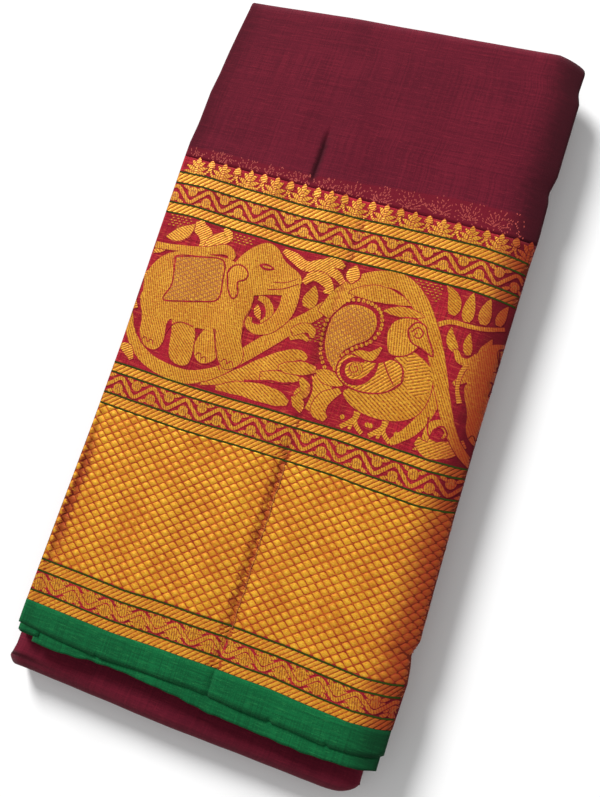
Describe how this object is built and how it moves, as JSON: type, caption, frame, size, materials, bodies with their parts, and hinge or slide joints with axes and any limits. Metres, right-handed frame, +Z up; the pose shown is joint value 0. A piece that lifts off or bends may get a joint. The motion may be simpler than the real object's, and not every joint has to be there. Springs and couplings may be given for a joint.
{
  "type": "saree",
  "caption": "Cotton saree folded into a flat bundle, maroon with a wide metallic border and a green selvedge.",
  "frame": {"origin": "centre of the bundle's bounding box, on the surface that it lies on", "axes": "+X across the bundle from the layers' folded edges to the rounded side, +Y from the selvedge end to the far fold, +Z up through the layers"},
  "size_m": [0.2106, 0.425, 0.0269],
  "materials": {
    "maroon_cotton": "plain woven cotton, matt",
    "zari_border": "figured weave of metallic thread on crimson, softly shiny",
    "green_selvedge": "plain woven cotton, matt"
  },
  "bodies": {
    "root": {"border_upper": "zari_border", "body_upper": "maroon_cotton", "selvedge_upper": "green_selvedge", "selvedge_second": "green_selvedge", "selvedge_third": "green_selvedge", "selvedge_stack": "green_selvedge", "fold_lower": "maroon_cotton", "body_underside": "maroon_cotton", "selvedge_far": "green_selvedge", "inner_layers": "maroon_cotton"}
  },
  "joints": []
}
